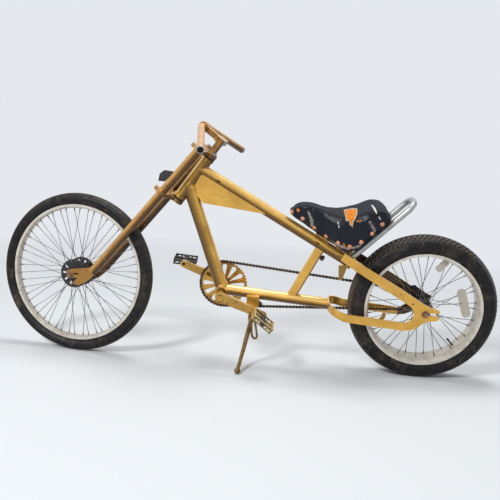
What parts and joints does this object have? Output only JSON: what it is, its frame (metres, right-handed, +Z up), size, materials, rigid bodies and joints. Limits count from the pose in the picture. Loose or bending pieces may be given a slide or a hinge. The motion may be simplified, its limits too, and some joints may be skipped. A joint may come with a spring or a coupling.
{
  "type": "chopper bicycle",
  "caption": "Chopper bicycle with a long raked fork, fat rear tyre, laced wheels, a padded saddle and a side stand that it leans on.",
  "frame": {"origin": "on the floor, under the middle of the parked bicycle's bounding box", "axes": "+X from the front wheel towards the rear wheel, +Y to the bicycle's right, +Z up"},
  "size_m": [1.865, 0.5318, 0.8928],
  "materials": {
    "gold_paint": "satin",
    "cream_rim": "satin",
    "tyre_rubber": "matte",
    "dull_steel": "dull",
    "black_metal": "satin",
    "dark_chain": "oiled",
    "black_plastic": "matte",
    "black_vinyl": "satin"
  },
  "bodies": {
    "bike_frame": {"head_tube": "gold_paint", "bottom_bracket": "gold_paint", "down_tube": "gold_paint", "backbone": "gold_paint", "side_panel": "gold_paint", "lower_tube": "gold_paint", "seat_tube": "gold_paint", "upper_bridge": "gold_paint", "upper_stay_left": "gold_paint", "upper_stay_right": "gold_paint", "lower_yoke": "gold_paint", "stay_hook": "gold_paint", "rear_axle": "dull_steel", "chain": "dark_chain", "chain_guard": "black_plastic", "saddle": "black_vinyl", "saddle_pan": "gold_paint", "saddle_hoop": "dull_steel", "stand_bracket": "gold_paint"},
    "fork": {"steerer": "dull_steel", "upper_clamp": "gold_paint", "lower_clamp": "gold_paint", "fork_leg_left": "gold_paint", "fork_leg_right": "gold_paint", "stem": "gold_paint", "handlebar": "gold_paint", "front_axle": "dull_steel", "reflector_bracket": "black_plastic"},
    "front_wheel": {"front_tyre": "tyre_rubber", "front_rim": "cream_rim", "front_spokes": "dull_steel", "front_hub": "black_metal"},
    "rear_wheel": {"rear_tyre": "tyre_rubber", "rear_rim": "cream_rim", "rear_spokes": "dull_steel", "rear_hub": "black_metal", "rear_sprocket": "black_metal"},
    "crankset": {"crank_spindle": "dull_steel", "chainring": "gold_paint", "crank_arm_left": "gold_paint", "crank_arm_right": "gold_paint"},
    "left_pedal": {"pedal_left": "black_plastic"},
    "right_pedal": {"pedal_right": "black_plastic"},
    "side_stand": {"stand_leg": "dull_steel"}
  },
  "joints": [
    {"name": "steering", "type": "hinge", "parent": "bike_frame", "child": "fork", "pos_m": [-0.20399, 0.01881, 0.6927], "axis": [0.5592, -0.1154, 0.8209], "range_deg": [-31.2, 58.8]},
    {"name": "front_wheel_spin", "type": "hinge", "parent": "fork", "child": "front_wheel", "pos_m": [-0.63707, 0.1074, 0.301], "axis": [0.1978, 0.9802, 0.0031], "continuous": true},
    {"name": "rear_wheel_spin", "type": "hinge", "parent": "bike_frame", "child": "rear_wheel", "pos_m": [0.65948, 0.0781, 0.27079], "axis": [0, 0.9903, 0.1392], "continuous": true},
    {"name": "crank_spin", "type": "hinge", "parent": "bike_frame", "child": "crankset", "pos_m": [-0.08152, 0.07643, 0.28272], "axis": [0, 0.9903, 0.1392], "continuous": true},
    {"name": "left_pedal_spin", "type": "hinge", "parent": "crankset", "child": "left_pedal", "pos_m": [0.07802, 0.0846, 0.22458], "axis": [0, 0.9903, 0.1392], "continuous": true},
    {"name": "right_pedal_spin", "type": "hinge", "parent": "crankset", "child": "right_pedal", "pos_m": [-0.24106, 0.06826, 0.34086], "axis": [0, 0.9903, 0.1392], "continuous": true},
    {"name": "stand_fold", "type": "hinge", "parent": "bike_frame", "child": "side_stand", "pos_m": [0.03548, 0.04382, 0.18422], "axis": [0, 0.9903, 0.1392], "range_deg": [-90, 0]}
  ]
}
